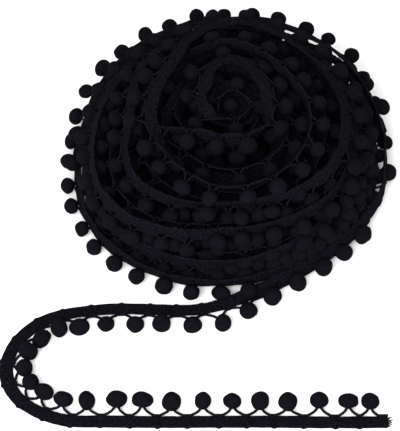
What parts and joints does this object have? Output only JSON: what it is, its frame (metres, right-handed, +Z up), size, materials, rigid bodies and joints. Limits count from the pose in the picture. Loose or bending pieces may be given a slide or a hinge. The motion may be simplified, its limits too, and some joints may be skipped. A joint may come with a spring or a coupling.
{
  "type": "roll of pompom trim",
  "caption": "Loosely wound round mound of narrow band trim with pompoms on a zigzag cord along one edge, and a loose end that turns back in a hairpin on the surface.",
  "frame": {"origin": "on the roll's flat underside, on the wound mound's axis", "axes": "+X to the right, the way the cut end points; +Y from the loose end towards the roll; +Z up"},
  "size_m": [0.2158, 0.273, 0.0608],
  "materials": {
    "black_yarn": "matte brushed polyester yarn",
    "black_band": "matte fine knitted polyester band"
  },
  "bodies": {
    "root": {"wound_roll": "black_yarn", "loose_band": "black_band", "upper_fringe": "black_yarn", "bend_fringe": "black_yarn", "lower_fringe": "black_yarn"}
  },
  "joints": []
}
